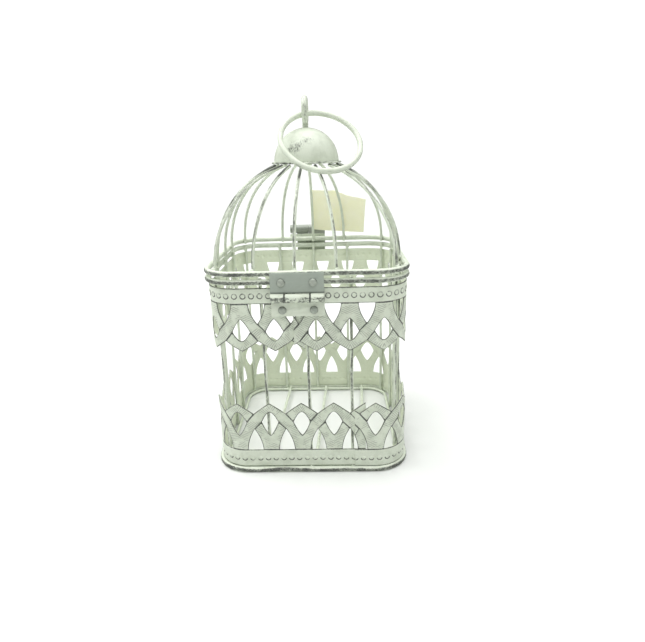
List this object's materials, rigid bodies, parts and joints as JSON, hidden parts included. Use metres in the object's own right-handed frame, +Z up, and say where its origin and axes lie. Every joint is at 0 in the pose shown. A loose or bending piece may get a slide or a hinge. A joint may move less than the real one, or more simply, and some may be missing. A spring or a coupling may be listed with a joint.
{
  "type": "wedding card box",
  "caption": "Square wire birdcage card box with stamped lattice bands, a hinged wire dome lid, a hasp at the back and a hanging ring on top.",
  "frame": {"origin": "middle of the footprint, on the surface that the cage stands on", "axes": "+Z up; -Y towards the wall with the hinge, +Y towards the wall with the hasp; +X to the right when the hinge faces the viewer"},
  "size_m": [0.129, 0.138, 0.235],
  "materials": {
    "white_paint": "distressed off-white paint on steel wire and sheet, rubbed grey along the edges and tops",
    "bare_steel": "bare zinc-grey hinge steel",
    "dark_steel": "dull grey hasp steel",
    "tag_paper": "blank cream paper, matte"
  },
  "bodies": {
    "cage": {"base_ring": "white_paint", "floor_ring": "white_paint", "floor_wire_1": "white_paint", "floor_wire_2": "white_paint", "floor_wire_3": "white_paint", "bar_01": "white_paint", "bar_02": "white_paint", "bar_03": "white_paint", "bar_04": "white_paint", "bar_05": "white_paint", "bar_06": "white_paint", "bar_07": "white_paint", "bar_08": "white_paint", "bar_09": "white_paint", "bar_10": "white_paint", "bar_11": "white_paint", "bar_12": "white_paint", "bar_13": "white_paint", "bar_14": "white_paint", "bar_15": "white_paint", "bar_16": "white_paint", "body_rim": "white_paint", "lower_lattice_band": "white_paint", "upper_lattice_band": "white_paint", "hinge_lower_leaf": "white_paint", "hinge_lower_rivet_1": "white_paint", "hinge_lower_rivet_2": "white_paint", "hasp_staple": "dark_steel"},
    "lid": {"lid_rim": "white_paint", "rib_01": "white_paint", "rib_02": "white_paint", "rib_03": "white_paint", "rib_04": "white_paint", "rib_05": "white_paint", "rib_06": "white_paint", "rib_07": "white_paint", "rib_08": "white_paint", "rib_09": "white_paint", "rib_10": "white_paint", "rib_11": "white_paint", "rib_12": "white_paint", "rib_13": "white_paint", "rib_14": "white_paint", "rib_15": "white_paint", "rib_16": "white_paint", "crown_plate": "white_paint", "cap": "white_paint", "hanging_eye": "white_paint", "hinge_upper_leaf": "bare_steel", "hinge_pin": "bare_steel", "hinge_upper_rivet_1": "bare_steel", "hinge_upper_rivet_2": "bare_steel", "hasp_bracket": "dark_steel", "hasp_pin": "dark_steel", "paper_tag": "tag_paper"},
    "ring": {"hanging_ring": "white_paint"},
    "hasp": {"hasp_strap": "dark_steel"}
  },
  "joints": [
    {"name": "lid_hinge", "type": "hinge", "parent": "cage", "child": "lid", "pos_m": [-0.0047, -0.0649, 0.1195], "axis": [1, 0, 0], "range_deg": [0, 170]},
    {"name": "ring_swing", "type": "hinge", "parent": "lid", "child": "ring", "pos_m": [0, 0, 0.22395], "axis": [-0.8968, -0.4149, -0.1533], "range_deg": [0, 260]},
    {"name": "hasp_swing", "type": "hinge", "parent": "lid", "child": "hasp", "pos_m": [-0.0047, 0.06695, 0.1409], "axis": [1, 0, 0], "range_deg": [0, 170]}
  ]
}
